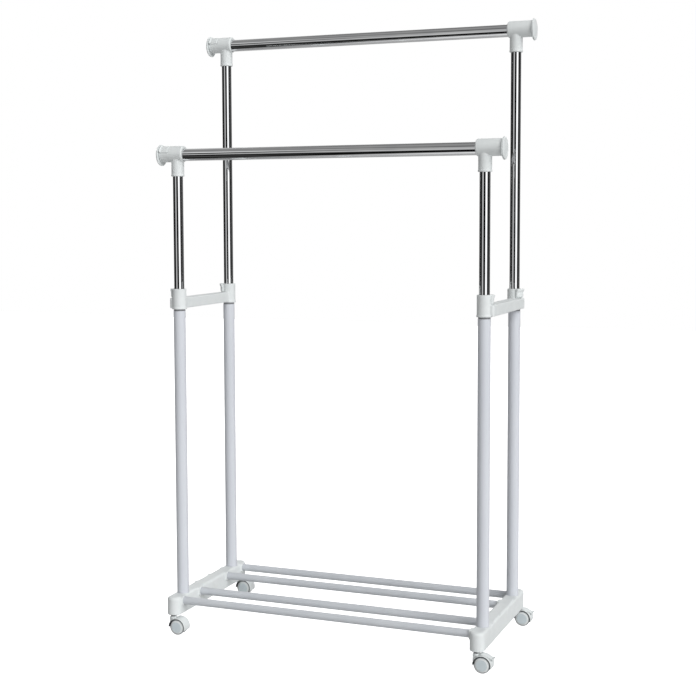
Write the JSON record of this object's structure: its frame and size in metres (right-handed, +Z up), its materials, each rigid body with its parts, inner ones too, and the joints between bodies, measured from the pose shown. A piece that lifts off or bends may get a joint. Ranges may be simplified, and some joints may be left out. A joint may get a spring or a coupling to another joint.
{
  "type": "rolling clothes rack",
  "caption": "Height-adjustable rolling clothes rack: chromed hanging rails on telescoping uprights in white posts, with a low tube shelf between moulded bases on swivel casters.",
  "frame": {"origin": "on the floor, under the middle of the rack, with the casters trailing to +X", "axes": "+Z up, +X along the hanging rails to the braked casters' side, -Y towards the lower front rail"},
  "size_m": [0.887, 0.412, 1.5243],
  "materials": {
    "moulding": "white moulded plastic, fine satin grain",
    "white_paint": "smooth white powder coat, satin",
    "shelf_paint": "smooth white powder coat, satin",
    "chrome": "bright polished chrome plating",
    "steel": "dark zinc plate",
    "wheel": "pale blue-grey nylon, satin"
  },
  "bodies": {
    "frame": {"base_left": "moulding", "mid_connector_left": "moulding", "base_right": "moulding", "mid_connector_right": "moulding", "shelf_rail_front": "shelf_paint", "shelf_rail_front_middle": "shelf_paint", "shelf_rail_rear_middle": "shelf_paint", "shelf_rail_rear": "shelf_paint", "lower_post_front_left": "white_paint", "collar_bushing_front_left": "moulding", "caster_stem_front_left": "steel", "lower_post_front_right": "white_paint", "collar_bushing_front_right": "moulding", "caster_stem_front_right": "steel", "lower_post_rear_left": "white_paint", "collar_bushing_rear_left": "moulding", "caster_stem_rear_left": "steel", "lower_post_rear_right": "white_paint", "collar_bushing_rear_right": "moulding", "caster_stem_rear_right": "steel"},
    "front_rail": {"hanging_rail_front": "chrome", "upright_front_left": "chrome", "rail_connector_front_left": "moulding", "upright_front_right": "chrome", "rail_connector_front_right": "moulding"},
    "rear_rail": {"hanging_rail_rear": "chrome", "upright_rear_left": "chrome", "rail_connector_rear_left": "moulding", "upright_rear_right": "chrome", "rail_connector_rear_right": "moulding"},
    "collar_lever_front_left": {"collar_lever_front_left": "moulding"},
    "rail_lever_front_left": {"rail_lever_front_left": "moulding"},
    "extension_front_left": {"extension_rod_front_left": "chrome", "end_cap_front_left": "moulding"},
    "caster_front_left": {"caster_hood_front_left": "moulding"},
    "wheel_front_left_outer": {"caster_wheel_front_left_outer": "wheel"},
    "wheel_front_left_inner": {"caster_wheel_front_left_inner": "wheel"},
    "collar_lever_front_right": {"collar_lever_front_right": "moulding"},
    "rail_lever_front_right": {"rail_lever_front_right": "moulding"},
    "extension_front_right": {"extension_rod_front_right": "chrome", "end_cap_front_right": "moulding"},
    "caster_front_right": {"caster_hood_front_right": "moulding"},
    "wheel_front_right_outer": {"caster_wheel_front_right_outer": "wheel"},
    "wheel_front_right_inner": {"caster_wheel_front_right_inner": "wheel"},
    "brake_front_right": {"brake_pedal_front_right": "moulding"},
    "collar_lever_rear_left": {"collar_lever_rear_left": "moulding"},
    "rail_lever_rear_left": {"rail_lever_rear_left": "moulding"},
    "extension_rear_left": {"extension_rod_rear_left": "chrome", "end_cap_rear_left": "moulding"},
    "caster_rear_left": {"caster_hood_rear_left": "moulding"},
    "wheel_rear_left_outer": {"caster_wheel_rear_left_outer": "wheel"},
    "wheel_rear_left_inner": {"caster_wheel_rear_left_inner": "wheel"},
    "collar_lever_rear_right": {"collar_lever_rear_right": "moulding"},
    "rail_lever_rear_right": {"rail_lever_rear_right": "moulding"},
    "extension_rear_right": {"extension_rod_rear_right": "chrome", "end_cap_rear_right": "moulding"},
    "caster_rear_right": {"caster_hood_rear_right": "moulding"},
    "wheel_rear_right_outer": {"caster_wheel_rear_right_outer": "wheel"},
    "wheel_rear_right_inner": {"caster_wheel_rear_right_inner": "wheel"},
    "brake_rear_right": {"brake_pedal_rear_right": "moulding"}
  },
  "joints": [
    {"name": "front_height", "type": "slide", "parent": "frame", "child": "front_rail", "axis": [0, 0, 1], "range_m": [-0.278, 0.402]},
    {"name": "rear_height", "type": "slide", "parent": "frame", "child": "rear_rail", "axis": [0, 0, 1], "range_m": [-0.577, 0.103]},
    {"name": "extension_front_left", "type": "slide", "parent": "front_rail", "child": "extension_front_left", "axis": [-1, 0, 0], "range_m": [0, 0.27]},
    {"name": "extension_front_right", "type": "slide", "parent": "front_rail", "child": "extension_front_right", "axis": [1, 0, 0], "range_m": [0, 0.27]},
    {"name": "extension_rear_left", "type": "slide", "parent": "rear_rail", "child": "extension_rear_left", "axis": [-1, 0, 0], "range_m": [0, 0.27]},
    {"name": "extension_rear_right", "type": "slide", "parent": "rear_rail", "child": "extension_rear_right", "axis": [1, 0, 0], "range_m": [0, 0.27]},
    {"name": "rail_lever_front_left", "type": "hinge", "parent": "front_rail", "child": "rail_lever_front_left", "pos_m": [-0.415, -0.1508, 1.2143], "axis": [0, 0.7071, 0.7071], "range_deg": [0, 60]},
    {"name": "rail_lever_front_right", "type": "hinge", "parent": "front_rail", "child": "rail_lever_front_right", "pos_m": [0.415, -0.1252, 1.2143], "axis": [0, -0.7071, 0.7071], "range_deg": [0, 60]},
    {"name": "rail_lever_rear_left", "type": "hinge", "parent": "rear_rail", "child": "rail_lever_rear_left", "pos_m": [-0.415, 0.1252, 1.5133], "axis": [0, 0.7071, 0.7071], "range_deg": [0, 60]},
    {"name": "rail_lever_rear_right", "type": "hinge", "parent": "rear_rail", "child": "rail_lever_rear_right", "pos_m": [0.415, 0.1508, 1.5133], "axis": [0, -0.7071, 0.7071], "range_deg": [0, 60]},
    {"name": "collar_lever_front_left", "type": "hinge", "parent": "frame", "child": "collar_lever_front_left", "pos_m": [-0.41249, -0.12984, 0.8446], "axis": [-0.4226, -0.9063, 0], "range_deg": [0, 45]},
    {"name": "collar_lever_front_right", "type": "hinge", "parent": "frame", "child": "collar_lever_front_right", "pos_m": [0.41249, -0.12984, 0.8446], "axis": [-0.4226, 0.9063, 0], "range_deg": [0, 45]},
    {"name": "collar_lever_rear_left", "type": "hinge", "parent": "frame", "child": "collar_lever_rear_left", "pos_m": [-0.41249, 0.12984, 0.8446], "axis": [0.4226, -0.9063, 0], "range_deg": [0, 45]},
    {"name": "collar_lever_rear_right", "type": "hinge", "parent": "frame", "child": "collar_lever_rear_right", "pos_m": [0.41249, 0.12984, 0.8446], "axis": [0.4226, 0.9063, 0], "range_deg": [0, 45]},
    {"name": "swivel_front_left", "type": "hinge", "parent": "frame", "child": "caster_front_left", "pos_m": [-0.395, -0.19, 0], "axis": [0, 0, 1], "continuous": true},
    {"name": "roll_front_left_outer", "type": "hinge", "parent": "caster_front_left", "child": "wheel_front_left_outer", "pos_m": [-0.379, -0.19, 0.0195], "axis": [0, 1, 0], "continuous": true},
    {"name": "roll_front_left_inner", "type": "hinge", "parent": "caster_front_left", "child": "wheel_front_left_inner", "pos_m": [-0.379, -0.19, 0.0195], "axis": [0, 1, 0], "continuous": true},
    {"name": "swivel_front_right", "type": "hinge", "parent": "frame", "child": "caster_front_right", "pos_m": [0.395, -0.19, 0], "axis": [0, 0, 1], "continuous": true},
    {"name": "roll_front_right_outer", "type": "hinge", "parent": "caster_front_right", "child": "wheel_front_right_outer", "pos_m": [0.411, -0.19, 0.0195], "axis": [0, 1, 0], "continuous": true},
    {"name": "roll_front_right_inner", "type": "hinge", "parent": "caster_front_right", "child": "wheel_front_right_inner", "pos_m": [0.411, -0.19, 0.0195], "axis": [0, 1, 0], "continuous": true},
    {"name": "brake_front_right", "type": "hinge", "parent": "caster_front_right", "child": "brake_front_right", "pos_m": [0.408, -0.19, 0.035], "axis": [0, -1, 0], "range_deg": [0, 12]},
    {"name": "swivel_rear_left", "type": "hinge", "parent": "frame", "child": "caster_rear_left", "pos_m": [-0.395, 0.19, 0], "axis": [0, 0, 1], "continuous": true},
    {"name": "roll_rear_left_outer", "type": "hinge", "parent": "caster_rear_left", "child": "wheel_rear_left_outer", "pos_m": [-0.379, 0.19, 0.0195], "axis": [0, 1, 0], "continuous": true},
    {"name": "roll_rear_left_inner", "type": "hinge", "parent": "caster_rear_left", "child": "wheel_rear_left_inner", "pos_m": [-0.379, 0.19, 0.0195], "axis": [0, 1, 0], "continuous": true},
    {"name": "swivel_rear_right", "type": "hinge", "parent": "frame", "child": "caster_rear_right", "pos_m": [0.395, 0.19, 0], "axis": [0, 0, 1], "continuous": true},
    {"name": "roll_rear_right_outer", "type": "hinge", "parent": "caster_rear_right", "child": "wheel_rear_right_outer", "pos_m": [0.411, 0.19, 0.0195], "axis": [0, 1, 0], "continuous": true},
    {"name": "roll_rear_right_inner", "type": "hinge", "parent": "caster_rear_right", "child": "wheel_rear_right_inner", "pos_m": [0.411, 0.19, 0.0195], "axis": [0, 1, 0], "continuous": true},
    {"name": "brake_rear_right", "type": "hinge", "parent": "caster_rear_right", "child": "brake_rear_right", "pos_m": [0.408, 0.19, 0.035], "axis": [0, -1, 0], "range_deg": [0, 12]}
  ]
}
